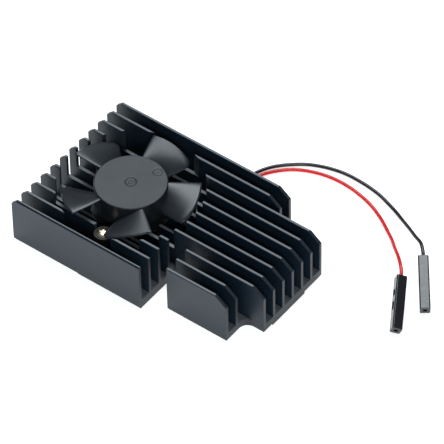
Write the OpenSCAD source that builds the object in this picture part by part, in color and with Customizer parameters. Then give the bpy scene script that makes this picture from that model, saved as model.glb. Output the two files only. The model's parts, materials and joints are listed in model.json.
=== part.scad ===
// Black finned heatsink with a frameless fan let into its fins, for a credit-card-size board.
// Origin: centre of the footprint, on the surface that the contact lands stand on.
// +X along the fins, +Y towards the edge where the wires leave, +Z up. Millimetres.

/* [Heatsink] */
// Length of the heatsink along its fins
body_l = 65; // [58:0.1:77]
// Number of fins
fin_count = 12; // [12:1:15]
// Distance from fin to fin
fin_pitch = 3.6; // [3:0.1:4.4]
// Thickness of a fin
fin_t = 0.8; // [0.6:0.1:1]
// Height of a fin above the base plate
fin_h = 11.2; // [10.6:0.1:14]
// Thickness of the base plate
base_t = 2; // [1.8:0.1:2.5]
// Height of the contact lands below the base plate
land_h = 0.6; // [0.6:0.05:1]
// Small chamfer along the top edges of a fin
edge_c = 0.14; // [0.05:0.01:0.2]
// Wider chamfer along the outer top edge of the front fin
front_edge_c = 0.34; // [0.05:0.01:0.4]
// Chamfer on the right ends of the fins, along X
right_cham_x = 3.2; // [1:0.1:4]
// Chamfer on the right ends of the fins, down Z
right_cham_z = 2.45; // [1:0.05:4]
// Chamfer on the left ends of the fins, along X
left_cham_x = 1.6; // [0.5:0.1:2]
// Chamfer on the left ends of the fins, down Z
left_cham_z = 1.5; // [0.5:0.1:3]

/* [Outline] */
// Distance from the left end to the connector slot
slot_x = 37.4; // [37.3:0.1:40]
// Width of the connector slot
slot_w = 5.2; // [4.4:0.1:6]
// Fin rows that the connector slot passes
slot_rows = 4; // [3:1:4]
// Length of the step at the front right corner
front_step_l = 5.3; // [3:0.1:8]
// Fin rows that the front right step takes
front_step_rows = 3; // [2:1:3]
// Length of the step at the back right corner
back_step_l = 14.1; // [8:0.1:16]
// Fin rows that the back right step takes
back_step_rows = 2; // [1:1:3]
// Radius that the cutter leaves in the corners
corner_r = 2.4; // [1:0.1:2.5]

/* [Fan pocket] */
// Distance from the left end to the fan's axis
fan_from_left = 19.7; // [19.3:0.1:20.4]
// Distance from the front to the fan's axis
fan_from_front = 20; // [18.4:0.1:22]
// Radius of the pocket in the fins
pocket_r = 17.7; // [17.4:0.1:18]
// Height of the fins left under the blades
low_fin_h = 5; // [3:0.1:5.2]
// Height of the front fin row left beside the screw
stop_fin_h = 8; // [6:0.1:8]

/* [Fan] */
// Height of the fan
fan_h = 10; // [9.8:0.1:10.4]
// Height of the hub above the fins
hub_above = 1; // [0.5:0.1:1.5]
// Radius of the impeller hub
hub_r = 8.75; // [8.65:0.05:9.4]
// Height of the impeller hub's skirt
hub_h = 6.2; // [6:0.1:6.4]
// Rounding of the hub's top edge
hub_round = 0.35; // [0.2:0.05:1]
// Gap between the blade tips and the pocket
tip_gap = 1.2; // [0.8:0.1:3]
// Number of blades
blade_count = 5; // [5:1:7]
// Thickness of a blade
blade_t = 0.7; // [0.5:0.05:0.9]
// Angle that one blade covers in plan
blade_span = 43; // [30:1:46]
// Drop of a blade from its leading to its trailing edge, at its tip
blade_drop = 2.3; // [1.5:0.1:2.4]
// Further drop of a blade at its root
blade_twist = 1.6; // [0:0.1:1.6]
// Angle of the first blade's leading edge
blade_start = 39; // [0:1:71]
// Distance from the hub's side to the axis of a fan screw
ear_out = 4.05; // [3.4:0.05:4.5]
// Radius of a screw ear
ear_r = 2.2; // [2.1:0.1:2.8]
// Angle of the first screw ear
ear_start = -83; // [-90:0.5:-70]
// Depth of the ear tops below the fan's top
ear_drop = 5.5; // [5.4:0.1:6.5]

/* [Motor] */
// Diameter of the shaft
shaft_d = 2; // [1.8:0.1:2.2]
// Running clearance between shaft and bearing
running_gap = 0.03; // [0.01:0.01:0.06]
// Wall of the bearing sleeve
sleeve_wall = 0.85; // [0.7:0.05:0.9]
// Wall of the bearing tube
tube_wall = 0.6; // [0.5:0.05:0.7]
// Gap between pole faces and magnet
air_gap = 0.35; // [0.3:0.05:0.45]
// Thickness of the ring magnet
magnet_t = 1.3; // [1:0.05:1.4]
// Thickness of the steel yoke
yoke_t = 0.6; // [0.4:0.05:0.7]
// Wall of the impeller hub
hub_wall = 0.8; // [0.6:0.05:0.9]
// Height of the stator core
core_h = 2.4; // [2:0.1:2.6]
// Thickness of the driver board
board_t = 0.8; // [0.6:0.1:1]

/* [Screws] */
// Diameter of the screw shank
screw_d = 2; // [1.8:0.1:2.2]
// Diameter of the screw head
head_d = 3.2; // [3:0.1:3.8]
// Height of the screw head
head_h = 1.15; // [1:0.05:1.3]
// Length of the screw under its head
screw_l = 6.2; // [6:0.1:6.8]

/* [Pads] */
// Thickness of a thermal pad
pad_t = 0.5; // [0.3:0.05:0.55]
// Side of the square processor pad
cpu_pad = 15; // [12:0.5:15]
// Distance from the left end to the processor's middle
cpu_from_left = 23.7; // [22:0.1:23.8]
// Side of the square memory pad
memory_pad = 11; // [8:0.5:12]
// Distance from the left end to the memory chip's middle
memory_from_left = 42.1; // [41.9:0.1:43]
// Distance from the front to the middle of the processor and of the memory chip
chips_from_front = 24; // [23.4:0.1:25]
// Side of the square network chip pad
network_pad = 7; // [5:0.5:7]
// Distance from the left end to the network chip's middle
network_from_left = 53.2; // [53:0.1:54]
// Distance from the front to the network chip's middle
network_from_front = 28.8; // [28:0.1:29]
// Distance from the left end to the land at the front
front_land_from_left = 18.9; // [17:0.1:24]
// Width of the land at the right end
right_land_w = 6; // [4:0.1:6]
// Length of the land at the right end
right_land_l = 12.3; // [10:0.1:12.3]
// Distance from the front to the middle of the land at the right end
right_land_from_front = 20.4; // [20:0.1:20.4]
// Gap between the land at the front and the processor's
land_gap = 1.8; // [1:0.1:4]
// Side of the square land at the back left corner
corner_land = 6; // [4:0.1:7]

/* [Wires] */
// Outer diameter of a wire
wire_d = 0.9; // [0.8:0.05:1]
// Space between the two wires where they leave
wire_space = 0.2; // [0.15:0.05:0.3]
// Distance from the left end to the middle of the wire groove
groove_from_left = 33.3; // [33.2:0.1:33.6]
// Length of a wire-end housing
housing_l = 14; // [12:0.5:15]
// Side of a wire-end housing
housing_w = 2.54; // [2.4:0.02:2.6]
// Side of the cavity in a housing
cavity_w = 1.8; // [1.7:0.05:1.9]
// Tilt of a resting housing, whose wire holds its far end up
housing_tilt = 14; // [10:0.5:15]

/* [Hidden] */

// Clearance of seated round pieces, of cut faces that must clear a piece, and of through cuts
seat = 0.02;
clear = 0.3;
over = 1;
// Step between floors that would otherwise lie in one plane
ledge = 0.15;

// Heatsink
body_w = (fin_count - 1) * fin_pitch + fin_t;
left_x = -body_l / 2;
right_x = body_l / 2;
front_y = -body_w / 2;
back_y = body_w / 2;
base_z = land_h + base_t;
top_z = base_z + fin_h;
slot_x0 = left_x + slot_x;
slot_x1 = slot_x0 + slot_w;
slot_end_y = front_y + slot_rows * fin_pitch - 0.2;
front_step_y = front_y + front_step_rows * fin_pitch;
back_step_y = back_y - back_step_rows * fin_pitch;
front_step_x = right_x - front_step_l;
back_step_x = right_x - back_step_l;
fan_x = left_x + fan_from_left;
fan_y = front_y + fan_from_front;
low_z = base_z + low_fin_h;
stop_z = base_z + stop_fin_h;
blade_r = pocket_r - tip_gap;
ear_at = hub_r + ear_out;

// Fan and motor, from the top down
fan_top = top_z + hub_above;
fan_bottom = fan_top - fan_h;
skirt_z = fan_top - hub_h;
ear_z = fan_top - ear_drop;
disc_t = 1.2;
disc_r = hub_r + 0.6;
arm_w = 3.2;
rib_w = 1.2;
hub_lid = 0.9;
yoke_top = fan_top - hub_lid;
yoke_r = hub_r - hub_wall - seat;
yoke_low = skirt_z + 0.3;
magnet_r = yoke_r - yoke_t - seat;
magnet_top = yoke_top - yoke_t;
magnet_low = yoke_low + 0.4;
core_r = magnet_r - magnet_t - air_gap;
shaft_r = shaft_d / 2;
sleeve_in = shaft_r + running_gap;
sleeve_r = sleeve_in + sleeve_wall;
tube_in = sleeve_r + seat;
tube_r = tube_in + tube_wall;
tube_floor = fan_bottom + 0.4;
tube_top = magnet_top - 0.4;
washer_h = 0.3;
shaft_low = tube_floor + washer_h;
clip_z = shaft_low + 0.35;
clip_h = 0.2;
sleeve_low = clip_z + clip_h + 0.3;
seal_h = 0.2;
sleeve_top = tube_top - seal_h - 0.1;
disc_top = fan_bottom + disc_t;
board_z = disc_top + 0.4;
board_top = board_z + board_t;
board_r = core_r + 1.2;
coil_gap = 0.3;
coil_top = magnet_top - coil_gap;
insulator_t = 0.4;
coil_build = 0.5;
core_top = coil_top - coil_build - insulator_t;
core_low = core_top - core_h;
coil_low = core_low - insulator_t - coil_build;
pole_t = 0.9;
pole_w = 1.5;
pole_span = 37;
coil_w = 2.7;
coil_in = tube_r + 0.65;
coil_out = sqrt(pow(core_r - pole_t, 2) - pow(coil_w / 2, 2)) - 0.1;

// Pads, groove and wires
pad_land = land_h - pad_t;
pad_margin = 0.5;
cpu_x = left_x + cpu_from_left;
memory_x = left_x + memory_from_left;
chips_y = front_y + chips_from_front;
network_x = left_x + network_from_left;
network_y = front_y + network_from_front;
front_land_x = left_x + front_land_from_left;
front_land_back = 0.3;
front_land_end_y = chips_y - cpu_pad / 2 - pad_margin - land_gap;
groove_x = left_x + groove_from_left;
wire_gap = wire_d + wire_space;
groove_w = wire_d + wire_gap + 0.4;
groove_top = land_h + wire_d + 0.3;
lead_z = land_h + wire_d / 2;
lead_over_z = disc_top + wire_d / 2 + 0.25;
lead_hole_row = ceil((fan_y - front_y - fin_t / 2) / fin_pitch) + 0.5;
lead_hole_y = front_y + fin_t / 2 + lead_hole_row * fin_pitch;
lead_hole_r = groove_w / 2;
black_exit = [groove_x - wire_gap / 2, back_y, 0];
red_exit = [groove_x + wire_gap / 2, back_y, 0];

// Free wires, from their exits at the groove's mouth to their metal ends. Each leaves at the
// height of its lead, lies on the bench at the height of its own radius, and rises to its end.
lie = wire_d / 2;
black_route = [
    [0, 0, lead_z], [0, 2.4, lead_z], [0, 5, lie + 0.3], [0, 7.6, lie + 0.05], [0.3, 10.2, lie],
    [1.5, 12.9, lie], [3.3, 15.3, lie], [5.6, 17.5, lie], [8.3, 19.5, lie], [11.4, 21, lie],
    [14.7, 22, lie], [18, 22.5, lie], [21.4, 22.5, lie], [24.8, 22.2, lie], [28.1, 21.6, lie],
    [31.4, 20.5, lie + 0.05], [34.7, 19.1, 0.8], [38, 17.2, 1.6], [41.3, 15.1, 2.8], [44.6, 12.9, 4],
    [47.3, 11.2, 4.95], [49.3, 9.25, 5], [50.2, 8.1, 4.6], [51.5, 6.4, 4.1]];
red_route = [
    [0, 0, lead_z], [0, 2.4, lead_z], [0, 5, lie + 0.3], [0, 7.6, lie + 0.05], [0.6, 10.4, lie],
    [2.3, 13, lie], [4.6, 15.4, lie], [7.2, 17.2, lie], [10.2, 18.5, lie], [13.4, 19.3, lie],
    [16.8, 19.6, lie], [20.2, 19.4, lie], [23.5, 18.8, lie], [26.7, 17.9, lie],
    [29.9, 16.5, lie + 0.05], [33.1, 14.5, 0.95], [36.1, 12.2, 1.7], [39, 9.8, 2.7], [41.7, 7.2, 3.8],
    [44.2, 4.9, 4.8], [46.5, 2.6, 5.4], [48, 0.9, 5.35], [48.8, -0.4, 4.95],
    [49.85, -2.2, 4.45]];

// Where the nose of each housing rests, from its wire's exit, its heading and its roll
black_nose = [58.45, -2.7];
black_heading = 127.5;
black_roll = 180;
red_nose = [55.75, -12];
red_heading = 121;
red_roll = -70;

// Housing and terminal: the wall at the nose, the pin hole, the two windows in the top face,
// and the terminal's socket, neck and barrel, all from the nose
nose_wall = 1.2;
pin_hole = 0.9;
window_w = 1.3;
windows = [[5.2, 2.2], [8.9, 1.6]];
housing_edge = 0.25;
terminal_play = 0.15;
socket_x = 1.4;
socket_l = 6;
socket_bore = 0.8;
neck_l = 1.2;
barrel_x = 8.4;
barrel_l = 4;
lap = 0.1;

// A tube along a route: rings of points joined in order and closed at both ends. Each ring is
// turned by the direction ref. From the ring number late on, X takes ref's place with a quarter
// turn, so that a route with bends in two planes isn't twisted.
function unit(v) = v / norm(v);
function heading(p, i) = unit(p[min(i + 1, len(p) - 1)] - p[max(i - 1, 0)]);
function ring(p, i, r, n, ref, turn) =
    let (t = heading(p, i), u = unit(cross(t, ref)), v = cross(u, t))
    [for (k = [0:n - 1]) let (a = 360 * k / n + turn) p[i] + r * (cos(a) * u + sin(a) * v)];

module tube(p, d, ref = [0, 0, 1], late = 1000) {
    m = len(p);
    n = 8;
    polyhedron(
        points = [for (i = [0:m - 1])
            each ring(p, i, d / 2, n, i < late ? ref : [1, 0, 0], i < late ? 0 : 90)],
        faces = concat(
            [[for (k = [0:n - 1]) k]],
            [[for (k = [n - 1:-1:0]) (m - 1) * n + k]],
            [for (i = [0:m - 2], k = [0:n - 1])
                [i * n + k, (i + 1) * n + k, (i + 1) * n + (k + 1) % n, i * n + (k + 1) % n]]));
}

module pipe(r_out, r_in, z0, z1) {
    translate([0, 0, z0]) difference() {
        cylinder(r = r_out, h = z1 - z0, $fn = 96);
        translate([0, 0, -over]) cylinder(r = r_in, h = z1 - z0 + 2 * over, $fn = 96);
    }
}

module at_fan() translate([fan_x, fan_y, 0]) children();

module at_ears() at_fan() for (k = [0:2]) rotate(ear_start + 120 * k)
    translate([ear_at, 0, 0]) children();

// A step cut from a corner of the outline, with the cutter's radius in its inner corner
module corner_cut(w, d) {
    difference() {
        square([w + over, d + over]);
        square(corner_r);
    }
    intersection() {
        square([corner_r, corner_r]);
        translate([corner_r, corner_r]) circle(r = corner_r, $fn = 48);
    }
}

module outline() {
    difference() {
        translate([left_x, front_y]) square([body_l, body_w]);
        translate([slot_x0, front_y - over]) square([slot_w, slot_end_y - front_y + over]);
        translate([slot_x0, front_y - over]) square([body_l, fin_pitch + over]);
        translate([front_step_x, front_step_y]) mirror([0, 1])
            corner_cut(front_step_l, front_step_y - front_y);
        translate([back_step_x, back_step_y]) corner_cut(back_step_l, back_y - back_step_y);
    }
}

// What the end chamfer takes off a fin, drawn at the fin's top right end
module end_chamfer(y, cx, cz) translate([0, y + fin_t, 0]) rotate([90, 0, 0])
    linear_extrude(2 * fin_t) polygon([[over, -cz - over * cz / cx], [over, over], [-cx, over],
        [-cx, 0]]);

// One fin: its cross-section with chamfered edges, run along X, less its end chamfers
module fin(x0, x1, y, h, chamfer_left, chamfer_right, front_c = edge_c) {
    low = land_h + base_t / 2;
    top = base_z + h;
    half = fin_t / 2;
    difference() {
        translate([x0, y, 0]) rotate([90, 0, 90]) linear_extrude(x1 - x0)
            polygon([[-half, low], [half, low], [half, top - edge_c], [half - edge_c, top],
                [front_c - half, top], [-half, top - front_c]]);
        if (chamfer_right)
            translate([x1, 0, top]) end_chamfer(y, right_cham_x, right_cham_z);
        if (chamfer_left)
            translate([x0, 0, top]) mirror([1, 0, 0]) end_chamfer(y, left_cham_x, left_cham_z);
    }
}

function fin_y(k) = front_y + fin_t / 2 + k * fin_pitch;
function fin_right(k) =
    k < 1 ? slot_x0
    : k < front_step_rows ? front_step_x
    : k >= fin_count - back_step_rows ? back_step_x
    : right_x;

module fins() {
    for (k = [0:fin_count - 1]) {
        if (k < 1)
            fin(left_x, slot_x0, fin_y(k), fin_h, true, false, front_edge_c);
        else if (k < slot_rows) {
            fin(left_x, slot_x0, fin_y(k), fin_h, true, false);
            fin(slot_x1, fin_right(k), fin_y(k), fin_h, false, true);
        }
        else
            fin(left_x, fin_right(k), fin_y(k), fin_h, true, true);
    }
}

// Room for the fan: open above the low fins, deeper where the fan's disc, arms and ears sit
module pocket() {
    difference() {
        at_fan() translate([0, 0, low_z]) cylinder(r = pocket_r, h = fin_h, $fn = 128);
        translate([left_x, fin_y(2) - fin_t / 2 - 0.01, 0]) cube([body_l, fin_t + 0.02, stop_z]);
    }
    at_fan() translate([0, 0, fan_bottom]) cylinder(r = disc_r + clear, h = fan_h, $fn = 96);
    at_ears() {
        translate([0, 0, fan_bottom - 2 * ledge])
            cylinder(r = ear_r + clear, h = fan_h, $fn = 48);
        translate([-ear_at + disc_r / 2, -arm_w / 2 - clear, fan_bottom - ledge])
            cube([ear_at - disc_r / 2, arm_w + 2 * clear, fan_h]);
    }
}

module land(x, y, w, d, h) translate([x - w / 2, y - d / 2, land_h - h])
    cube([w, d, h + base_t / 2]);

module pad_base(x, y, w) land(x, y, w + 2 * pad_margin, w + 2 * pad_margin, pad_land);

module heatsink_body() {
    color([0.06, 0.06, 0.065]) difference() {
        union() {
            difference() {
                union() {
                    translate([0, 0, land_h]) linear_extrude(base_t) outline();
                    fins();
                }
                pocket();
            }
            at_ears() translate([0, 0, land_h + base_t / 2])
                cylinder(r = ear_r, h = fan_bottom - land_h - base_t / 2, $fn = 48);
            pad_base(cpu_x, chips_y, cpu_pad);
            pad_base(memory_x, chips_y, memory_pad);
            pad_base(network_x, network_y, network_pad);
            land((front_land_x + slot_x0) / 2, (front_y + front_land_back + front_land_end_y) / 2,
                slot_x0 - front_land_x, front_land_end_y - front_y - front_land_back, land_h);
            land(right_x - right_land_w / 2, front_y + right_land_from_front, right_land_w,
                right_land_l, land_h);
            land(left_x + corner_land / 2, back_y - corner_land / 2, corner_land, corner_land,
                land_h);
        }
        at_ears() translate([0, 0, ear_z - screw_l - clear])
            cylinder(r = screw_d / 2, h = fan_h, $fn = 48);
        translate([groove_x - groove_w / 2, lead_hole_y, -over])
            cube([groove_w, body_w, groove_top + over]);
        translate([groove_x, lead_hole_y, -over])
            cylinder(r = lead_hole_r, h = base_z + 2 * over, $fn = 48);
    }
}

module fan_base() {
    color([0.05, 0.05, 0.055]) difference() {
        union() {
            at_fan() translate([0, 0, fan_bottom]) {
                cylinder(r = disc_r, h = disc_t, $fn = 96);
                cylinder(r = tube_r, h = tube_top - fan_bottom, $fn = 64);
                cylinder(r = tube_r + 0.7, h = board_z - fan_bottom, $fn = 64);
            }
            at_ears() {
                translate([0, 0, fan_bottom]) cylinder(r = ear_r, h = ear_z - fan_bottom, $fn = 64);
                translate([-ear_at + disc_r - 0.6, -arm_w / 2, fan_bottom + ledge])
                    cube([ear_at - disc_r + 0.6, arm_w, disc_t - 2 * ledge]);
                translate([-ear_at + disc_r + 0.4, -rib_w / 2, fan_bottom + 2 * ledge])
                    cube([ear_at - disc_r - 0.4, rib_w, skirt_z - clear - fan_bottom - 2 * ledge]);
            }
        }
        at_fan() translate([0, 0, tube_floor]) cylinder(r = tube_in, h = fan_h, $fn = 64);
        at_fan() pipe(hub_r + clear, hub_r - hub_wall - clear, skirt_z - clear / 2, fan_top);
        at_ears() translate([0, 0, fan_bottom - over])
            cylinder(r = screw_d / 2 + 0.1, h = fan_h, $fn = 48);
    }
}

module bearing_sleeve() color([0.72, 0.5, 0.3])
    at_fan() pipe(sleeve_r, sleeve_in, sleeve_low, sleeve_top);

module thrust_washer() color([0.85, 0.85, 0.8])
    at_fan() translate([0, 0, tube_floor]) cylinder(r = sleeve_r, h = washer_h, $fn = 64);

module oil_seal() color([0.9, 0.9, 0.85])
    at_fan() pipe(sleeve_r, shaft_r + 0.08, sleeve_top, sleeve_top + seal_h);

// The outline shared by the core and its insulators: a ring, four arms and four pole faces
module pole_plate(ring_r) {
    difference() {
        union() {
            circle(r = ring_r, $fn = 64);
            for (a = [0:90:270]) rotate(a) {
                translate([0, -pole_w / 2]) square([core_r - pole_t / 2, pole_w]);
                intersection() {
                    difference() {
                        circle(r = core_r, $fn = 96);
                        circle(r = core_r - pole_t, $fn = 96);
                    }
                    polygon([[0, 0], 2 * core_r * [cos(pole_span), -sin(pole_span)],
                        [2 * core_r, 0], 2 * core_r * [cos(pole_span), sin(pole_span)]]);
                }
            }
        }
        circle(r = tube_r + seat, $fn = 64);
    }
}

module stator_core() color([0.55, 0.56, 0.58])
    at_fan() translate([0, 0, core_low]) linear_extrude(core_h) pole_plate(tube_r + 0.55);

module upper_insulator() color([0.92, 0.92, 0.88])
    at_fan() translate([0, 0, core_top]) linear_extrude(insulator_t) pole_plate(tube_r + 0.5);

module lower_insulator() color([0.92, 0.92, 0.88])
    at_fan() translate([0, 0, core_low - insulator_t]) linear_extrude(insulator_t)
        pole_plate(tube_r + 0.5);

// Four windings, each a rounded ring of copper round one arm
module stator_coils() color([0.75, 0.4, 0.2])
    at_fan() for (a = [0:90:270]) rotate(a)
        translate([coil_in, 0, 0]) rotate([90, 0, 90]) linear_extrude(coil_out - coil_in)
            difference() {
                union() {
                    translate([-coil_w / 2, coil_low + coil_build])
                        square([coil_w, coil_top - coil_low - 2 * coil_build]);
                    translate([-coil_w / 2 + coil_build, coil_low])
                        square([coil_w - 2 * coil_build, coil_top - coil_low]);
                    for (x = [-1, 1], z = [coil_low + coil_build, coil_top - coil_build])
                        translate([x * (coil_w / 2 - coil_build), z])
                            circle(r = coil_build, $fn = 32);
                }
                translate([-pole_w / 2, core_low - insulator_t])
                    square([pole_w, core_h + 2 * insulator_t]);
            }

module driver_board() color([0.1, 0.35, 0.2])
    at_fan() pipe(board_r, tube_r + 0.1, board_z, board_top);

module hall_chip() color([0.08, 0.08, 0.08])
    at_fan() rotate(135) translate([core_r - 1.4, -1.2, board_top]) {
        cube([1.6, 2.4, 0.8]);
        for (y = [0.3, 1.1, 1.9]) translate([1.6, y, 0]) cube([0.7, 0.25, 0.2]);
    }

module filter_capacitor() color([0.7, 0.6, 0.4])
    at_fan() rotate(225) translate([core_r - 1.2, -1, board_top]) cube([1, 2, 0.7]);

// Pan head with a cross recess, and a plain shank
module fan_screws() color([0.8, 0.68, 0.42])
    at_ears() difference() {
        union() {
            translate([0, 0, ear_z - screw_l]) cylinder(d = screw_d - 2 * seat, h = screw_l, $fn = 48);
            translate([0, 0, ear_z]) rotate_extrude($fn = 64) intersection() {
                square([head_d / 2, head_h]);
                translate([0, -(head_d * head_d / 4 - head_h * head_h / 4) / head_h])
                    circle(r = (head_d * head_d / 4 + head_h * head_h / 4) / head_h, $fn = 96);
            }
        }
        for (a = [0, 90]) rotate(a + 20)
            translate([-head_d * 0.31, -0.19, ear_z + head_h * 0.35])
                cube([head_d * 0.62, 0.38, head_h]);
    }

// A lead held inside the fan: off the board, over the base disc's rim between two rows of low
// fins, down the base plate's hole and along the groove
module lead(side) {
    x = groove_x + side * wire_gap / 2;
    y = lead_hole_y;
    dy = -side * wire_gap / 2;
    off_axis = min(board_r - 1.5, y - fan_y - wire_gap / 2);
    start = [fan_x + sqrt(pow(board_r - 1, 2) - off_axis * off_axis), y + dy,
        board_top + wire_d / 2 + seat];
    rim_x = fan_x + disc_r + 0.3;
    tube([start, start + [2.2, 0, 0.15], [rim_x, y + dy, lead_over_z],
        [(rim_x + x) / 2, y + dy, lead_over_z - 1.2], [x - 0.5, y + 0.8 * dy, base_z + 1.9],
        [x, y, base_z + 1], [x, y + 0.1, land_h + 1.4], [x, y + 0.9, lead_z + 0.05],
        [x, y + 2.4, lead_z], [x, back_y - 2, lead_z], [x, back_y, lead_z]],
        wire_d, [0, 1, 0], 5);
}

module red_lead() color([0.8, 0.08, 0.08]) lead(1);

module black_lead() color([0.05, 0.05, 0.05]) lead(-1);

module pad(x, y, w) translate([x - w / 2, y - w / 2, 0]) cube([w, w, pad_t]);

module processor_pad() color([0.55, 0.6, 0.7]) pad(cpu_x, chips_y, cpu_pad);

module memory_pad() color([0.55, 0.6, 0.7]) pad(memory_x, chips_y, memory_pad);

module network_pad() color([0.55, 0.6, 0.7]) pad(network_x, network_y, network_pad);

// One blade: a thin twisted sheet between two radii. It falls with the square of the way from
// its leading edge, more at its root, and its outer trailing corner is trimmed back.
blade_rows = 8;
blade_cols = 14;
blade_in = hub_r - 0.3;
blade_top = fan_top - 0.25;
corner_trim = 6;
sweep_back = 2;
function blade_way(r) = (r - blade_in) / (blade_r - blade_in);
function blade_angle(r, s) =
    let (trim = max(0, blade_way(r) - 0.75) / 0.25)
    -s * (blade_span - corner_trim * trim * trim * s) - sweep_back * blade_way(r);
function blade_z(r, s) =
    blade_top - blade_t / 2
    - (blade_drop + blade_twist * (1 - blade_way(r))) * (0.25 * s + 0.75 * s * s);
function blade_point(i, j, up) =
    let (r = blade_in + (blade_r - blade_in) * i / blade_rows, s = j / blade_cols,
        a = blade_angle(r, s))
    [r * cos(a), r * sin(a), blade_z(r, s) + up * blade_t / 2];
module blade() {
    n = blade_cols + 1;
    m = (blade_rows + 1) * n;
    polyhedron(
        points = concat(
            [for (i = [0:blade_rows], j = [0:blade_cols]) blade_point(i, j, 1)],
            [for (i = [0:blade_rows], j = [0:blade_cols]) blade_point(i, j, -1)]),
        faces = concat(
            [for (i = [0:blade_rows - 1], j = [0:blade_cols - 1])
                [i * n + j, (i + 1) * n + j, (i + 1) * n + j + 1, i * n + j + 1]],
            [for (i = [0:blade_rows - 1], j = [0:blade_cols - 1])
                [m + i * n + j, m + i * n + j + 1, m + (i + 1) * n + j + 1, m + (i + 1) * n + j]],
            [for (i = [0:blade_rows - 1])
                [i * n, m + i * n, m + (i + 1) * n, (i + 1) * n]],
            [for (i = [0:blade_rows - 1])
                [(i + 1) * n + blade_cols, m + (i + 1) * n + blade_cols,
                    m + i * n + blade_cols, i * n + blade_cols]],
            [for (j = [0:blade_cols - 1]) [j, j + 1, m + j + 1, m + j]],
            [for (j = [0:blade_cols - 1])
                [m - n + j, 2 * m - n + j, 2 * m - n + j + 1, m - n + j + 1]]));
}

module impeller() color([0.09, 0.09, 0.095])
    at_fan() {
        difference() {
            rotate_extrude($fn = 128) union() {
                translate([0, skirt_z]) square([hub_r, hub_h - hub_round]);
                translate([0, fan_top - hub_round]) square([hub_r - hub_round, hub_round]);
                translate([hub_r - hub_round, fan_top - hub_round])
                    circle(r = hub_round, $fn = 48);
            }
            translate([0, 0, skirt_z - over])
                cylinder(r = hub_r - hub_wall, h = yoke_top - skirt_z + over, $fn = 96);
            translate([0, 0, fan_top - 0.12]) difference() {
                cylinder(r = 1.4, h = over, $fn = 48);
                translate([0, 0, -over]) cylinder(r = 1.1, h = 3 * over, $fn = 48);
            }
        }
        for (k = [0:blade_count - 1]) rotate(blade_start + 360 * k / blade_count) blade();
    }

module rotor_yoke() color([0.6, 0.6, 0.62])
    at_fan() difference() {
        translate([0, 0, yoke_low]) cylinder(r = yoke_r, h = yoke_top - yoke_low, $fn = 96);
        translate([0, 0, yoke_low - over])
            cylinder(r = yoke_r - yoke_t, h = magnet_top - yoke_low + over, $fn = 96);
        translate([0, 0, yoke_low - over]) cylinder(r = 2.2, h = fan_h, $fn = 48);
    }

module ring_magnet() color([0.2, 0.2, 0.21])
    at_fan() pipe(magnet_r, magnet_r - magnet_t, magnet_low, magnet_top);

module shaft_bush() color([0.8, 0.66, 0.35])
    at_fan() pipe(2.2 - seat, shaft_r + seat, magnet_top - 0.15, yoke_top);

module shaft() color([0.75, 0.76, 0.78])
    at_fan() difference() {
        translate([0, 0, shaft_low]) cylinder(r = shaft_r, h = yoke_top - shaft_low, $fn = 64);
        pipe(shaft_r + over, shaft_r - 0.25, clip_z, clip_z + clip_h + 0.04);
    }

module retaining_clip() color([0.3, 0.3, 0.32])
    at_fan() difference() {
        pipe(shaft_r + 0.5, shaft_r - 0.25 + seat, clip_z + 0.02, clip_z + clip_h);
        translate([0, -0.35, 0]) cube([fan_h, 0.7, fan_h]);
    }

module red_wire() color([0.85, 0.1, 0.1])
    tube([for (p = red_route) p + red_exit], wire_d);

module black_wire() color([0.06, 0.06, 0.06])
    tube([for (p = black_route) p + black_exit], wire_d);

// Puts a piece drawn along +X, from its nose at the origin, where a housing lies
module lay(from, nose, heading, roll) {
    drop = (abs(cos(roll)) + abs(sin(roll))) * housing_w / 2 * cos(housing_tilt);
    translate([from[0] + nose[0], from[1] + nose[1], drop])
        rotate([0, -housing_tilt, heading]) rotate([roll, 0, 0]) children();
}

module housing() {
    w = housing_w / 2;
    c = housing_edge;
    difference() {
        rotate([90, 0, 90]) linear_extrude(housing_l)
            polygon([[-w + c, -w], [w - c, -w], [w, -w + c], [w, w - c], [w - c, w],
                [-w + c, w], [-w, w - c], [-w, -w + c]]);
        translate([nose_wall, -cavity_w / 2, -cavity_w / 2])
            cube([housing_l, cavity_w, cavity_w]);
        translate([-over, -pin_hole / 2, -pin_hole / 2])
            cube([nose_wall + 2 * over, pin_hole, pin_hole]);
        for (place = windows) translate([place[0], -window_w / 2, 0])
            cube([place[1], window_w, housing_w]);
    }
}

module terminal() {
    s = cavity_w / 2 - terminal_play;
    difference() {
        union() {
            translate([socket_x, -s, -s]) cube([socket_l, 2 * s, 2 * s]);
            translate([socket_x + socket_l - lap, -s * 0.7, -s]) cube([neck_l, s * 1.4, s]);
            translate([barrel_x, -s, -s]) cube([barrel_l, 2 * s, 2 * s]);
        }
        translate([0, -socket_bore / 2, -socket_bore / 2])
            cube([socket_x + socket_l - neck_l / 2, socket_bore, socket_bore]);
        translate([barrel_x + over, 0, 0]) rotate([0, 90, 0])
            cylinder(r = wire_d / 2 + lap, h = barrel_l, $fn = 32);
    }
}

module red_housing() color([0.07, 0.07, 0.07])
    lay(red_exit, red_nose, red_heading, red_roll) housing();

module black_housing() color([0.07, 0.07, 0.07])
    lay(black_exit, black_nose, black_heading, black_roll) housing();

module red_terminal() color([0.78, 0.76, 0.7])
    lay(red_exit, red_nose, red_heading, red_roll) terminal();

module black_terminal() color([0.78, 0.76, 0.7])
    lay(black_exit, black_nose, black_heading, black_roll) terminal();

heatsink_body();
fan_base();
bearing_sleeve();
thrust_washer();
oil_seal();
stator_core();
upper_insulator();
lower_insulator();
stator_coils();
driver_board();
hall_chip();
filter_capacitor();
fan_screws();
red_lead();
black_lead();
processor_pad();
memory_pad();
network_pad();
impeller();
rotor_yoke();
ring_magnet();
shaft_bush();
shaft();
retaining_clip();
red_wire();
black_wire();
red_housing();
black_housing();
red_terminal();
black_terminal();
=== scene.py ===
import json
import math

import bmesh
import bpy
import numpy as np
from mathutils import Matrix, Vector


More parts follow.
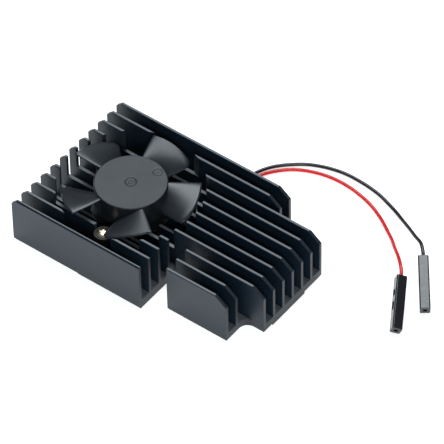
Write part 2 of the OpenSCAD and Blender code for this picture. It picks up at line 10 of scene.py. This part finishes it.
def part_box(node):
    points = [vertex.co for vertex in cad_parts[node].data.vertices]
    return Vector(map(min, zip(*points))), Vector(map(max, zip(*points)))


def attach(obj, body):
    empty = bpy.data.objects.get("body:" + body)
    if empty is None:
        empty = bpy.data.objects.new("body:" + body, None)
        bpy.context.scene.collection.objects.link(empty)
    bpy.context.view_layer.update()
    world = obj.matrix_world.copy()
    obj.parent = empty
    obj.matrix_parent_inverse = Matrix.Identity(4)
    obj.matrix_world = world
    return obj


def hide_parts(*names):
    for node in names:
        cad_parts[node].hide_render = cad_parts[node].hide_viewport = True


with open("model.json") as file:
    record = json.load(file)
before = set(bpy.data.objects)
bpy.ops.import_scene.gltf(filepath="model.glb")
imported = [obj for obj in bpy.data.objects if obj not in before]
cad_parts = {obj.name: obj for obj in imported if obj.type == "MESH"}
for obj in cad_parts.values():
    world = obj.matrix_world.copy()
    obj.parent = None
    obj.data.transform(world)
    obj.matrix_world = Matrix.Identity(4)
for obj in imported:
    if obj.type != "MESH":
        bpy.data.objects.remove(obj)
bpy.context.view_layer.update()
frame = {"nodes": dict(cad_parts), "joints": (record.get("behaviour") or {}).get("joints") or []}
MM = 0.001

# ---------------------------------------------------------------------------------------------
# The room. The camera looks down over the front right corner from a long way off, so that
# parallel edges stay nearly parallel. A large softbox stands behind the object and nearly
# overhead and shows in every face that looks up; a smaller one beside the camera lights the
# front walls and the rounded edges, and the floor's painted glow fills the shadows.
# ---------------------------------------------------------------------------------------------
camera_azimuth = math.radians(37.857)
camera_elevation = math.radians(46.584)
camera_roll = math.radians(-1.095)
camera_distance = 1075 * MM
camera_lens = 374.6
body_low, body_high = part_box("heatsink_body")
body_centre = (body_low + body_high) / 2
camera_aim = body_centre + Vector((7.5, 7.9, 0.1)) * MM

back = Vector((math.sin(camera_azimuth) * math.cos(camera_elevation),
               -math.cos(camera_azimuth) * math.cos(camera_elevation),
               math.sin(camera_elevation)))
level = Vector((math.cos(camera_azimuth), math.sin(camera_azimuth), 0))
rise = back.cross(level)
across = level * math.cos(camera_roll) + rise * math.sin(camera_roll)
upward = rise * math.cos(camera_roll) - level * math.sin(camera_roll)
camera_data = bpy.data.cameras.new("camera")
camera_data.lens = camera_lens
camera_data.sensor_width = 36
camera_data.clip_start = 0.05
camera_data.clip_end = 20
camera = bpy.data.objects.new("camera", camera_data)
bpy.context.scene.collection.objects.link(camera)
turn = Matrix((across, upward, back)).transposed()
camera.matrix_world = Matrix.Translation(camera_aim + back * camera_distance) @ turn.to_4x4()
bpy.context.scene.camera = camera


def softbox(name, towards, distance, width, depth, radiance):
    """A flat light that faces the object from the direction towards. Its power is pi times its
    area times the radiance that it shows."""
    data = bpy.data.lights.new(name, "AREA")
    data.shape = "RECTANGLE"
    data.size = width
    data.size_y = depth
    data.energy = math.pi * width * depth * radiance
    data.color = (0.87, 0.95, 1.0)
    lamp = bpy.data.objects.new(name, data)
    bpy.context.scene.collection.objects.link(lamp)
    direction = Vector(towards).normalized()
    lamp.location = body_centre + direction * distance
    lamp.rotation_mode = "QUATERNION"
    lamp.rotation_quaternion = direction.to_track_quat("Z", "Y")


softbox("overhead_softbox", towards=(-0.27, 0.34, 0.90), distance=1.0, width=0.64, depth=0.56,
        radiance=8.2)
softbox("front_softbox", towards=(0.55, -0.62, 0.56), distance=1.2, width=0.45, depth=0.25,
        radiance=14)

world = bpy.data.worlds.new("studio")
world.use_nodes = True
backdrop = world.node_tree.nodes["Background"]
backdrop.inputs["Color"].default_value = (0.85, 0.93, 1, 1)
backdrop.inputs["Strength"].default_value = 0.12
bpy.context.scene.world = world
bpy.context.scene.view_settings.view_transform = "Standard"


class Socket:
    """An output of a shader node. Arithmetic on it adds Math nodes to the same tree."""

    def __init__(self, tree, out):
        self.tree = tree
        self.out = out

    def node(self, kind, settings=None, **inputs):
        """Adds a node of that type. Settings are set first; inputs are links or values, and a
        name of the form i3 is the input number 3."""
        made = self.tree.nodes.new(kind)
        for key, value in (settings or {}).items():
            if key != "stops":
                setattr(made, key, value)
                continue
            ramp = made.color_ramp
            while len(ramp.elements) < len(value):
                ramp.elements.new(0.5)
            for element, (place, shade) in zip(ramp.elements, value):
                element.position = place
                element.color = (*shade, 1)
        for key, value in inputs.items():
            numbered = key[0] == "i" and key[1:].isdigit()
            place = made.inputs[int(key[1:]) if numbered else key.replace("_", " ")]
            if isinstance(value, Socket):
                self.tree.links.new(value.out, place)
            else:
                place.default_value = value
        return made

    def first(self, kind, settings=None, **inputs):
        """The first output of a new node."""
        return Socket(self.tree, self.node(kind, settings, **inputs).outputs[0])

    def maths(self, operation, *values):
        inputs = {f"i{i}": value for i, value in enumerate(values)}
        return self.first("ShaderNodeMath", {"operation": operation}, **inputs)

    def __add__(self, other):
        return self.maths("ADD", self, other)

    def __radd__(self, other):
        return self.maths("ADD", other, self)

    def __rsub__(self, other):
        return self.maths("SUBTRACT", other, self)

    def __mul__(self, other):
        return self.maths("MULTIPLY", self, other)

    def __abs__(self):
        return self.maths("ABSOLUTE", self)

    def step(self, low, high):
        """0 below low, 1 above high and smooth between them."""
        return self.first("ShaderNodeMapRange", {"interpolation_type": "SMOOTHSTEP"},
                          Value=self, From_Min=low, From_Max=high, To_Min=0.0, To_Max=1.0)


class Finish:
    """A material on a Principled shader. where is the place on the object, in metres."""

    def __init__(self, name, base, roughness, metallic=0.0, ior=1.5):
        self.material = bpy.data.materials.new(name)
        self.material.use_nodes = True
        self.tree = self.material.node_tree
        self.shader = self.tree.nodes["Principled BSDF"]
        self.shader.inputs["Base Color"].default_value = (*base, 1)
        self.shader.inputs["Roughness"].default_value = roughness
        self.shader.inputs["Metallic"].default_value = metallic
        self.shader.inputs["IOR"].default_value = ior
        place = self.tree.nodes.new("ShaderNodeTexCoord")
        self.where = Socket(self.tree, place.outputs["Object"])

    def parts_of(self, vector):
        """The x, y and z of a vector."""
        split = self.tree.nodes.new("ShaderNodeSeparateXYZ")
        self.tree.links.new(vector, split.inputs[0])
        return [Socket(self.tree, out) for out in split.outputs]

    def facing(self):
        """The x, y and z of the direction that the surface faces."""
        geometry = self.tree.nodes.new("ShaderNodeNewGeometry")
        return self.parts_of(geometry.outputs["True Normal"])

    def place(self):
        return self.parts_of(self.where.out)

    def noise(self, per_metre, detail=2.0, rough=0.5):
        """Cloudy noise between 0 and 1. per_metre is one rate, or one for each of x, y and z."""
        rates = per_metre if isinstance(per_metre, tuple) else (per_metre,) * 3
        vector = self.where.first("ShaderNodeVectorMath", {"operation": "MULTIPLY"},
                                  i0=self.where, i1=rates)
        return self.where.first("ShaderNodeTexNoise", None, Vector=vector, Scale=1.0,
                                Detail=detail, Roughness=rough)

    def mix(self, factor, first, second):
        """The colour first where factor is 0, second where it is 1."""
        colours = [(*c, 1) if isinstance(c, tuple) else c for c in (first, second)]
        made = self.where.node("ShaderNodeMix", {"data_type": "RGBA"}, i0=factor,
                               i6=colours[0], i7=colours[1])
        return Socket(self.tree, made.outputs[2])

    def feed(self, name, value):
        self.tree.links.new(value.out, self.shader.inputs[name])

    def bump(self, height, depth):
        """Relief: depth is how far, in metres, a height of 1 stands above a height of 0."""
        made = self.where.node("ShaderNodeBump", None, Height=height, Distance=depth,
                               Strength=1.0)
        self.tree.links.new(made.outputs[0], self.shader.inputs["Normal"])


def paint(piece, finish):
    """Puts a finish in every material slot of a piece."""
    if not piece.data.materials:
        piece.data.materials.append(finish.material)
    for i in range(len(piece.data.materials)):
        piece.data.materials[i] = finish.material


def add_piece(name, mesh, smooth=True):
    mesh.polygons.foreach_set("use_smooth", np.full(len(mesh.polygons), smooth))
    mesh.update()
    piece = bpy.data.objects.new(name, mesh)
    bpy.context.scene.collection.objects.link(piece)
    return piece


def grid_faces(rows, cols, wrap_cols=False):
    """The four corner numbers of every cell of a grid of points. A wrap joins the last column
    to the first."""
    i, j = np.meshgrid(np.arange(rows - 1), np.arange(cols if wrap_cols else cols - 1),
                       indexing="ij")
    down, right = i + 1, (j + 1) % cols
    return np.stack([i * cols + j, i * cols + right, down * cols + right, down * cols + j],
                    -1).reshape(-1, 4)


def shell_faces(rows, cols, first=0):
    """The faces of a closed shell whose rows are rings, with a flat face over each end ring.
    first is the number of the shell's first point."""
    faces = (grid_faces(rows, cols, wrap_cols=True) + first).tolist()
    near_end = np.arange(cols)[::-1] + first
    far_end = np.arange((rows - 1) * cols, rows * cols) + first
    return faces + [near_end.tolist(), far_end.tolist()]


def surface(name, points, closed=False, smooth=True):
    """A piece whose skin is a grid of points of shape (rows, columns, 3), or a closed shell."""
    rows, cols = points.shape[:2]
    faces = shell_faces(rows, cols) if closed else grid_faces(rows, cols).tolist()
    mesh = bpy.data.meshes.new(name)
    mesh.from_pydata(points.reshape(-1, 3).tolist(), [], faces)
    return add_piece(name, mesh, smooth)


merge_gap = 0.0005 * MM


def softened(name, node, width, segments=2):
    """A copy of a CAD node with its seams merged, its edges rounded to that width and shaded
    smooth, which stands for the node."""
    source = frame["nodes"][node]
    mesh = source.data.copy()
    mesh.transform(source.matrix_world)
    shape = bmesh.new()
    shape.from_mesh(mesh)
    bmesh.ops.remove_doubles(shape, verts=shape.verts, dist=merge_gap)
    bmesh.ops.dissolve_limit(shape, angle_limit=math.radians(1), verts=shape.verts,
                             edges=shape.edges)
    shape.to_mesh(mesh)
    shape.free()
    mesh.materials.clear()
    piece = add_piece(name, mesh)
    mesh.set_sharp_from_angle(angle=math.radians(40))
    bevel = piece.modifiers.new("rounded_edges", "BEVEL")
    bevel.width = width
    bevel.segments = segments
    bevel.limit_method = "ANGLE"
    bevel.angle_limit = math.radians(30)
    bevel.harden_normals = True
    return piece


# The floor: a white sheet whose emission is a painted glow, full white near the object and
# fading to grey further out, which fills the shadows and leaves only a faint one where the
# object stands.
floor_reach = 3.0
painted_glow_centre = (0.02, 0, 0)
painted_glow_from, painted_glow_to = 0.10, 0.32
painted_glow_floor = Finish("white_floor_painted_glow", (0.86, 0.86, 0.86), 0.6)
spread = painted_glow_floor.where.node("ShaderNodeVectorMath", {"operation": "DISTANCE"},
                                 i0=painted_glow_floor.where, i1=painted_glow_centre)
away = Socket(painted_glow_floor.tree, spread.outputs["Value"])
# Painted glow: the floor's emission is full white within 0.1 m of the glow centre and fades to
# dim grey by 0.32 m.
painted_glow_floor.feed("Emission Color", painted_glow_floor.mix(away.step(painted_glow_from, painted_glow_to),
                                                     (1.0, 1.0, 1.0), (0.25, 0.25, 0.25)))
painted_glow_floor.shader.inputs["Emission Strength"].default_value = 0.75
reach = np.linspace(-floor_reach, floor_reach, 9)
floor_x, floor_y = np.meshgrid(reach, reach)
floor = surface("floor", np.dstack([floor_x, floor_y, np.zeros_like(floor_x)]), smooth=False)
paint(floor, painted_glow_floor)

# ---------------------------------------------------------------------------------------------
# The two fan wires: fine copper strands in a soft vinyl cover, black for ground and red for the
# supply. They leave the groove under the back edge, lie on the floor in one loose arc each, and
# rise a little where the stiff crimped ends lift them. Lengths here are in millimetres.
# ---------------------------------------------------------------------------------------------
wire_d = 0.9
wire_gap = 1.1
groove_from_left = 33.3
lead_z = 1.05
lie = wire_d / 2
groove_x = body_low.x / MM + groove_from_left
black_exit = np.array([groove_x - wire_gap / 2, body_high.y / MM, 0])
red_exit = np.array([groove_x + wire_gap / 2, body_high.y / MM, 0])
black_route = np.array([
    [0, 0, lead_z], [0, 2.4, lead_z], [0, 5, lie + 0.3], [0, 7.6, lie + 0.05], [0.3, 10.2, lie],
    [1.5, 12.9, lie], [3.3, 15.3, lie], [5.6, 17.5, lie], [8.3, 19.5, lie], [11.4, 21, lie],
    [14.7, 22, lie], [18, 22.5, lie], [21.4, 22.5, lie], [24.8, 22.2, lie], [28.1, 21.6, lie],
    [31.4, 20.5, lie + 0.05], [34.7, 19.1, 0.8], [38, 17.2, 1.6], [41.3, 15.1, 2.8],
    [44.6, 12.9, 4], [47.3, 11.2, 4.95], [49.3, 9.25, 5], [50.2, 8.1, 4.6], [51.5, 6.4, 4.1]])
red_route = np.array([
    [0, 0, lead_z], [0, 2.4, lead_z], [0, 5, lie + 0.3], [0, 7.6, lie + 0.05], [0.6, 10.4, lie],
    [2.3, 13, lie], [4.6, 15.4, lie], [7.2, 17.2, lie], [10.2, 18.5, lie], [13.4, 19.3, lie],
    [16.8, 19.6, lie], [20.2, 19.4, lie], [23.5, 18.8, lie], [26.7, 17.9, lie],
    [29.9, 16.5, lie + 0.05], [33.1, 14.5, 0.95], [36.1, 12.2, 1.7], [39, 9.8, 2.7],
    [41.7, 7.2, 3.8], [44.2, 4.9, 4.8], [46.5, 2.6, 5.4], [48, 0.9, 5.35], [48.8, -0.4, 4.95],
    [49.85, -2.2, 4.45]])


def smooth_line(points, per_span=8):
    """A curve through the points. Between two of them it is the cubic whose slope at each is
    half the step from the point before to the point after."""
    padded = np.vstack([2 * points[0] - points[1], points, 2 * points[-1] - points[-2]])
    slope = (padded[2:] - padded[:-2]) / 2
    t = (np.arange(per_span) / per_span)[None, :, None]
    p0, p1, m0, m1 = points[:-1, None], points[1:, None], slope[:-1, None], slope[1:, None]
    line = ((2 * t**3 - 3 * t**2 + 1) * p0 + (t**3 - 2 * t**2 + t) * m0
            + (3 * t**2 - 2 * t**3) * p1 + (t**3 - t**2) * m1)
    return np.vstack([line.reshape(-1, 3), points[-1:]])


def tube(name, line, radius, sides=20):
    """A round tube: each ring is p + radius (cos(a) u + sin(a) v) about a point p of the line,
    where u and v are square to the line and to each other."""
    heading = np.gradient(line, axis=0)
    heading /= np.linalg.norm(heading, axis=1, keepdims=True)
    side = np.cross(heading, (0, 0, 1))
    side /= np.linalg.norm(side, axis=1, keepdims=True)
    over = np.cross(side, heading)
    angle = np.linspace(0, 2 * np.pi, sides, endpoint=False)[None, :, None]
    rings = line[:, None] + radius * (np.cos(angle) * side[:, None]
                                      + np.sin(angle) * over[:, None])
    return surface(name, rings[:, ::-1], closed=True)


def vinyl(name, colour, dull, roughness):
    """A wire's cover: one colour that turns a little duller in patches, and an uneven gloss."""
    made = Finish(name, colour, roughness, ior=1.5)
    made.feed("Base Color", made.mix(made.noise(900, 3).step(0.4, 0.75), colour, dull))
    made.feed("Roughness", made.noise(2500, 2) * 0.2 + (roughness - 0.1))
    made.bump(made.noise(1500, 3), 0.00002)
    return made


black_vinyl = vinyl("black_vinyl", (0.010, 0.010, 0.012), (0.02, 0.02, 0.022), 0.3)
red_vinyl = vinyl("red_vinyl", (0.78, 0.014, 0.014), (0.62, 0.012, 0.014), 0.3)
wires = [
    ("black", black_exit + black_route, black_vinyl, 0.0723),
    ("red", red_exit + red_route, red_vinyl, 0.0720)]
cords, laid = {}, {}
for colour, route, finish, length in wires:
    line = smooth_line(route) * MM
    wire = tube(colour + "_wire_cover", line, wire_d / 2 * MM)
    paint(wire, finish)
    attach(wire, "root")
    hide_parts(colour + "_wire")
    cords[colour] = wire
    laid[colour] = {"exit": line[0], "length": length, "diameter": wire_d * MM,
                    "far_end": "connector", "stiffness": "medium", "lay": "loose",
                    "path": line}

# ---------------------------------------------------------------------------------------------
# The leads inside the fan are the first stretch of the same two wires, from the driver board
# down to the groove in the base plate.
# ---------------------------------------------------------------------------------------------
paint(frame["nodes"]["red_lead"], red_vinyl)
paint(frame["nodes"]["black_lead"], black_vinyl)

# ---------------------------------------------------------------------------------------------
# The single-pin housings: smooth injection moulded nylon on a crimped, tin plated terminal,
# whose latch shows in the two windows of the top face.
# ---------------------------------------------------------------------------------------------
glossy_nylon = Finish("glossy_black_nylon", (0.014, 0.014, 0.016), 0.24, ior=1.52)
glossy_nylon.feed("Roughness", glossy_nylon.noise(700, 3) * 0.12 + 0.12)
glossy_nylon.bump(glossy_nylon.noise(1800, 2) + glossy_nylon.noise(350, 1) * 2.0, 0.000006)
tin_plate = Finish("tin_plate", (0.74, 0.73, 0.70), 0.3, metallic=1.0)
tin_plate.feed("Roughness", tin_plate.noise(4000, 3) * 0.3 + 0.18)
tin_plate.feed("Base Color", tin_plate.mix(tin_plate.noise(1200, 2), (0.80, 0.79, 0.76),
                                           (0.58, 0.57, 0.55)))
for colour in ("red", "black"):
    housing = softened(colour + "_housing_moulding", colour + "_housing", 0.1 * MM)
    paint(housing, glossy_nylon)
    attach(housing, "root")
    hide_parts(colour + "_housing")
    terminal = softened(colour + "_terminal_pressing", colour + "_terminal", 0.04 * MM)
    paint(terminal, tin_plate)
    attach(terminal, "root")
    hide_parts(colour + "_terminal")

# ---------------------------------------------------------------------------------------------
# The heatsink: extruded aluminium with twelve fins, milled to its outline and pocketed for the
# fan, then anodised black. Fins keep the die's drawn lines along their length. Faces that the
# cutter left take the dye less, so the fins' ends are a little paler. Faces that look up or down
# are painted much paler, a painted sheen in place of the softbox's reflection on the fin tops.
# ---------------------------------------------------------------------------------------------
anodised = Finish("black_anodised", (0.018, 0.019, 0.021), 0.4, ior=1.43)
face_x, _, face_z = anodised.facing()
cut_end = abs(face_x).step(0.45, 0.8)
# Painted sheen: faces that look straight up or down get a far paler colour, in place of the
# softbox's reflection.
painted_sheen_mask = abs(face_z).step(0.8, 0.95)
drawn = anodised.noise((90, 5200, 5200), 3, 0.65)
cutter = anodised.noise((2600, 5200, 900), 2, 0.6)
cloud = anodised.noise(160, 3)
dyed = anodised.mix(drawn * 0.6 + cloud * 0.4, (0.003, 0.009, 0.017), (0.012, 0.024, 0.038))
painted_top_sheen = anodised.mix(drawn, (0.07, 0.078, 0.086), (0.15, 0.163, 0.176))
pale_end = anodised.mix(cutter, (0.012, 0.015, 0.019), (0.04, 0.046, 0.054))
anodised.feed("Base Color", anodised.mix(cut_end, anodised.mix(painted_sheen_mask, dyed, painted_top_sheen),
                                         pale_end))
anodised.feed("Roughness", drawn * 0.16 + cloud * 0.1 + cut_end * 0.12 + 0.28)
anodised.bump(drawn * (1 - cut_end) + cutter * cut_end, 0.000016)
paint(frame["nodes"]["heatsink_body"], anodised)

# ---------------------------------------------------------------------------------------------
# The impeller: one moulding in black glass-filled plastic. The hub's top has a fine spark-eroded
# grain and two round marks; five thin blades fall away ever more steeply from their leading
# edges and thin towards all their edges. Lengths here are in millimetres, angles in degrees.
# ---------------------------------------------------------------------------------------------
fan_x, fan_y, fan_top = [value / MM for value in frame["joints"][0]["pos_m"]]
hub_r = 8.75
hub_h = 6.2
hub_wall = 0.8
hub_round = 0.35
skirt_edge = 0.15
inner_edge = 0.1
lid = 0.9
lid_rings = 150
lid_extra = 0.02
rim_start = 88
rim_rings = 9
hub_sides = 220
hub_eye = 0.02
# Each ring in the lid: its centre's place from the hub's, its radius, its width and its depth.
hub_rings = [(0, 0, 1.3, 0.3, 0.10), (0, 0, 0.5, 0.35, 0.06),
             (3.0, 6.3, 1.05, 0.3, 0.08), (3.0, 6.3, 0.3, 0.3, 0.04)]
blade_r = 16.5
blade_t = 0.7
blade_count = 5
blade_start = 39
blade_span = 43
blade_rake = 2
blade_below = 0.25
blade_drop = 2.3
blade_twist = 1.6
blade_taper = 0.25
root_overlap = 0.3
corner_trim = 6
corner_share = 0.25
tip_share = 0.03
tip_least = 0.02


def arc(centre, radius, start, end, count):
    """Points of a circle's arc in the plane of radius and height, by the angle from start to
    end in degrees."""
    a = np.radians(np.linspace(start, end, count))
    return np.column_stack([centre[0] + radius * np.cos(a), centre[1] + radius * np.sin(a)])


def turned(profile, sides):
    """A profile of (radius, height) points turned about the upright axis."""
    a = np.linspace(0, 2 * np.pi, sides, endpoint=False)
    r, z = profile[:, 0, None], profile[:, 1, None]
    return np.dstack([r * np.cos(a), r * np.sin(a), z + np.zeros_like(a)])


def groove(distance, near, wide):
    """A groove's share of its depth: exp(-((distance - near) / (wide / 2))^2)."""
    return np.exp(-((distance - near) / (wide / 2)) ** 2)


def hub_points():
    """The hub's skin: across the lid on a fine polar grid, whose height dips in the rings of
    the marks, round the rim, down the skirt and back up inside."""
    lid_line = np.column_stack([np.linspace(hub_eye, hub_r - hub_round, lid_rings),
                                np.full(lid_rings, fan_top)])
    rim = arc((hub_r - hub_round, fan_top - hub_round), hub_round, rim_start, 0, rim_rings)
    low = fan_top - hub_h
    inner = hub_r - hub_wall
    ceiling = fan_top - lid - lid_extra
    inside = np.array([[hub_r, low + skirt_edge], [hub_r - skirt_edge, low],
                       [inner + inner_edge, low], [inner, low + inner_edge],
                       [inner, ceiling], [hub_eye, ceiling]])
    points = turned(np.vstack([lid_line, rim, inside]), hub_sides)
    lid_x, lid_y = points[:lid_rings, :, 0], points[:lid_rings, :, 1]
    for ring_x, ring_y, radius, wide, deep in hub_rings:
        distance = np.hypot(lid_x - ring_x, lid_y - ring_y)
        points[:lid_rings, :, 2] -= deep * groove(distance, radius, wide)
    return (points + (fan_x, fan_y, 0)) * MM


def blade_points(number, rows=26, cols=44):
    """One blade's skin, as a grid round its section: columns run along the top from the leading
    to the trailing edge and back underneath, and rows run from the hub to the tip. At the share
    s of the way round, the middle surface has fallen by s/4 + 3 s^2/4 of its whole fall, which
    grows towards the root, and the half thickness is blade_t / 2 times the square root of
    1 - (2s - 1)^8 and times 1 - blade_taper s. The tip's trailing corner is trimmed back."""
    turn_by = np.linspace(0, 2 * np.pi, cols, endpoint=False)
    s = (1 - np.cos(turn_by)) / 2
    side = np.where(turn_by < np.pi, 1, -1)
    way = np.linspace(0, 1, rows)[:, None]
    root_r = hub_r - root_overlap
    r = root_r + (blade_r - root_r) * way
    trim = corner_trim * (np.clip(way - 1 + corner_share, 0, None) / corner_share) ** 2
    angle = np.radians(blade_start + 360 / blade_count * number
                       - s * (blade_span - trim * s) - blade_rake * way)
    fall = blade_drop + blade_twist * (1 - way)
    middle = fan_top - blade_below - blade_t / 2 - fall * (0.25 * s + 0.75 * s**2)
    thick = blade_t / 2 * np.sqrt(np.clip(1 - (2 * s - 1) ** 8, 0, 1)) * (1 - blade_taper * s)
    past = np.clip((way - 1 + tip_share) / tip_share, 0, 1)
    z = middle + side * thick * np.sqrt(np.clip(1 - past**2, tip_least, 1))
    return np.dstack([fan_x + r * np.cos(angle), fan_y + r * np.sin(angle), z]) * MM


def joined(name, shells):
    """One mesh from several closed shells, each given as the points of its rings."""
    faces, first = [], 0
    for points in shells:
        rows, cols = points.shape[:2]
        faces += shell_faces(rows, cols, first)
        first += rows * cols
    mesh = bpy.data.meshes.new(name)
    mesh.from_pydata(np.vstack([points.reshape(-1, 3) for points in shells]).tolist(), [], faces)
    return mesh


def face_out(mesh):
    """Turns every closed shell's faces to the outside."""
    shape = bmesh.new()
    shape.from_mesh(mesh)
    bmesh.ops.remove_doubles(shape, verts=shape.verts, dist=merge_gap)
    bmesh.ops.recalc_face_normals(shape, faces=shape.faces)
    shape.to_mesh(mesh)
    shape.free()


blades = [blade_points(number) for number in range(blade_count)]
impeller_mesh = joined("impeller_moulding", [hub_points()] + blades)
face_out(impeller_mesh)
impeller = add_piece("impeller_moulding", impeller_mesh)
impeller_mesh.set_sharp_from_angle(angle=math.radians(35))

moulded_black = Finish("moulded_black", (0.016, 0.0165, 0.018), 0.4, ior=1.5)
height = moulded_black.place()[2]
on_lid = height.step((fan_top - 0.3) * MM, (fan_top - 0.18) * MM)
grain = moulded_black.noise(5200, 3, 0.7)
flow = moulded_black.noise((220, 220, 600), 3)
moulded_black.feed("Base Color", moulded_black.mix(
    grain * 0.5 + flow * 0.5, (0.010, 0.012, 0.015), (0.020, 0.023, 0.027)))
moulded_black.feed("Roughness", 0.30 + on_lid * 0.12 + flow * 0.10)
moulded_black.bump(grain * (0.25 + on_lid * 0.75), 0.00003)
paint(impeller, moulded_black)
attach(impeller, "rotor")
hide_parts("impeller")

# ---------------------------------------------------------------------------------------------
# The fan's base: a disc on three arms whose ears take the screws, moulded in the same black as
# the impeller but left with the mould's plain dull face.
# ---------------------------------------------------------------------------------------------
satin_black = Finish("satin_black", (0.010, 0.011, 0.013), 0.6, ior=1.42)
satin_black.feed("Roughness", satin_black.noise(1200, 3) * 0.2 + 0.55)
satin_black.bump(satin_black.noise(4200, 2), 0.00001)
paint(frame["nodes"]["fan_base"], satin_black)

# ---------------------------------------------------------------------------------------------
# The screws: pan heads with a cross recess, steel with a pale yellow passivated plating.
# ---------------------------------------------------------------------------------------------
plated = Finish("yellow_plating", (0.86, 0.74, 0.50), 0.24, metallic=1.0)
plated.feed("Base Color", plated.mix(plated.noise(1500, 3), (0.90, 0.80, 0.58),
                                     (0.72, 0.58, 0.34)))
plated.feed("Roughness", plated.noise(3000, 3) * 0.28 + 0.12)
screws = softened("pan_head_screws", "fan_screws", 0.09 * MM, segments=3)
paint(screws, plated)
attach(screws, "root")
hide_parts("fan_screws")

# ---------------------------------------------------------------------------------------------
# The motor under the hub: a pressed steel yoke with a bonded ferrite ring, a ground shaft in a
# brass bush and a sintered bronze sleeve, and a four-pole wound stator on a small board.
# ---------------------------------------------------------------------------------------------
pressed_steel = Finish("pressed_steel", (0.52, 0.53, 0.55), 0.34, metallic=1.0)
pressed_steel.feed("Roughness", pressed_steel.noise((1500, 1500, 9000), 3) * 0.3 + 0.2)
ground_steel = Finish("ground_steel", (0.72, 0.73, 0.75), 0.15, metallic=1.0)
ground_steel.feed("Roughness", ground_steel.noise((500, 500, 24000), 2) * 0.16 + 0.08)
bronze = Finish("sintered_bronze", (0.50, 0.31, 0.17), 0.5, metallic=1.0)
bronze.feed("Base Color", bronze.mix(bronze.noise(9000, 3).step(0.35, 0.65), (0.30, 0.18, 0.10),
                                     (0.58, 0.37, 0.20)))
bronze.bump(bronze.noise(9000, 3), 0.00002)
ferrite = Finish("bonded_ferrite", (0.055, 0.055, 0.06), 0.6)
ferrite.feed("Base Color", ferrite.mix(ferrite.noise(6000, 4), (0.035, 0.035, 0.04),
                                       (0.09, 0.09, 0.095)))
ferrite.bump(ferrite.noise(6000, 4), 0.00002)
nylon = Finish("white_nylon", (0.80, 0.80, 0.75), 0.5)
nylon.feed("Base Color", nylon.mix(nylon.noise(500, 3), (0.84, 0.84, 0.80), (0.74, 0.73, 0.66)))
board = Finish("dark_soldermask", (0.012, 0.03, 0.022), 0.35)
board.feed("Base Color", board.mix(board.noise((900, 900, 50), 1).step(0.48, 0.52),
                                   (0.010, 0.026, 0.020), (0.016, 0.040, 0.030)))
epoxy = Finish("moulded_epoxy", (0.02, 0.02, 0.02), 0.5)
epoxy.bump(epoxy.noise(9000, 3), 0.00001)
ceramic = Finish("fired_ceramic", (0.45, 0.33, 0.20), 0.45)
ceramic.feed("Base Color", ceramic.mix(ceramic.noise(7000, 3), (0.50, 0.38, 0.24),
                                       (0.38, 0.27, 0.16)))
windings = Finish("enamelled_copper", (0.62, 0.27, 0.11), 0.28, metallic=1.0)
strand = windings.where.first(
    "ShaderNodeTexWave", {"bands_direction": "DIAGONAL"}, Scale=1200.0, Distortion=0.6,
    Detail=1.0)
windings.feed("Base Color", windings.mix(strand, (0.30, 0.11, 0.04), (0.68, 0.31, 0.13)))
windings.bump(strand, 0.00008)
motor = {
    "rotor_yoke": pressed_steel, "ring_magnet": ferrite, "shaft_bush": plated,
    "shaft": ground_steel, "retaining_clip": pressed_steel, "bearing_sleeve": bronze,
    "thrust_washer": nylon, "oil_seal": nylon, "stator_core": pressed_steel,
    "upper_insulator": nylon, "lower_insulator": nylon, "stator_coils": windings,
    "driver_board": board, "hall_chip": epoxy, "filter_capacitor": ceramic}
for name, finish in motor.items():
    paint(frame["nodes"][name], finish)

# ---------------------------------------------------------------------------------------------
# The thermal pads: soft blue-grey silicone squares, die cut, with their edges a little crushed
# and rounded where they are pressed between the lands and the chips.
# ---------------------------------------------------------------------------------------------
silicone = Finish("thermal_silicone", (0.30, 0.37, 0.48), 0.75)
silicone.feed("Base Color", silicone.mix(silicone.noise(1500, 4), (0.26, 0.33, 0.44),
                                         (0.36, 0.42, 0.53)))
silicone.bump(silicone.noise(2600, 4), 0.00004)
crush_depth = 0.18 * MM


def pad_points(low, high, rows=13, sides=96):
    """A flat square cushion. Each ring is the curve |x|^12 + |y|^12 = 1 in its own half widths,
    which are less by crush_depth (1 - sqrt(1 - 0.96 l^2)) at the lift l, from -1 at the bottom
    face to 1 at the top one."""
    a = np.linspace(0, 2 * np.pi, sides, endpoint=False)
    square = (np.abs(np.cos(a)) ** 12 + np.abs(np.sin(a)) ** 12) ** (-1 / 12)
    lift = np.linspace(-1, 1, rows)[:, None]
    half = np.array([(high.x - low.x) / 2, (high.y - low.y) / 2])
    crush = crush_depth * (1 - np.sqrt(1 - 0.96 * lift**2))
    x = (low.x + high.x) / 2 + (half[0] - crush) * square * np.cos(a)
    y = (low.y + high.y) / 2 + (half[1] - crush) * square * np.sin(a)
    z = (low.z + high.z) / 2 + lift * (high.z - low.z) / 2 + 0 * a
    return np.dstack([x, y, z])


for chip in ("processor", "memory", "network"):
    pad = surface(chip + "_silicone", pad_points(*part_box(chip + "_pad")), closed=True)
    pad.data.set_sharp_from_angle(angle=math.radians(50))
    paint(pad, silicone)
    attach(pad, "root")
    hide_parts(chip + "_pad")
